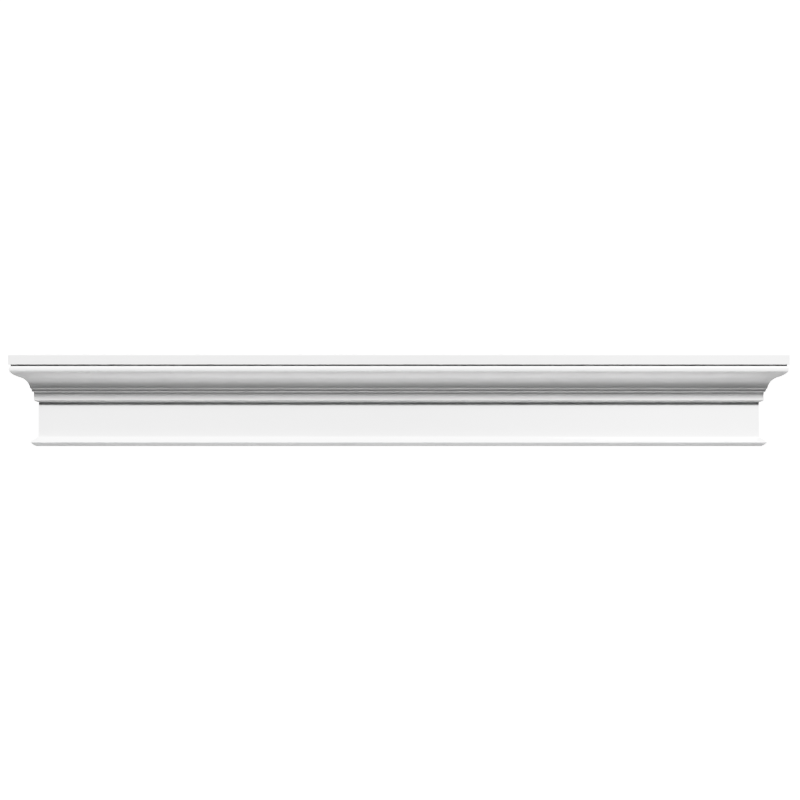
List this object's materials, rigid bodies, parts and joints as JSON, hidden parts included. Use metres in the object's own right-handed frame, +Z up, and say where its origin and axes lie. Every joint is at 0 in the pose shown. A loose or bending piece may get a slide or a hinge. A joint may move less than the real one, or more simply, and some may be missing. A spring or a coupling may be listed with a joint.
{
  "type": "door crosshead",
  "caption": "Moulded door crosshead: plain frieze with a foot moulding, bed mould, fillet, ogee and square-edged cap, the profile returned round both ends and the back flat.",
  "frame": {"origin": "centre of the flat back face, which lies against the wall", "axes": "+X along the crosshead, +Y out of its back and into the wall, +Z up; the front faces -Y"},
  "size_m": [1.951, 0.1005, 0.2286],
  "materials": {
    "primed_white": "factory-primed white urethane foam moulding, satin"
  },
  "bodies": {
    "root": {"crosshead": "primed_white"}
  },
  "joints": []
}
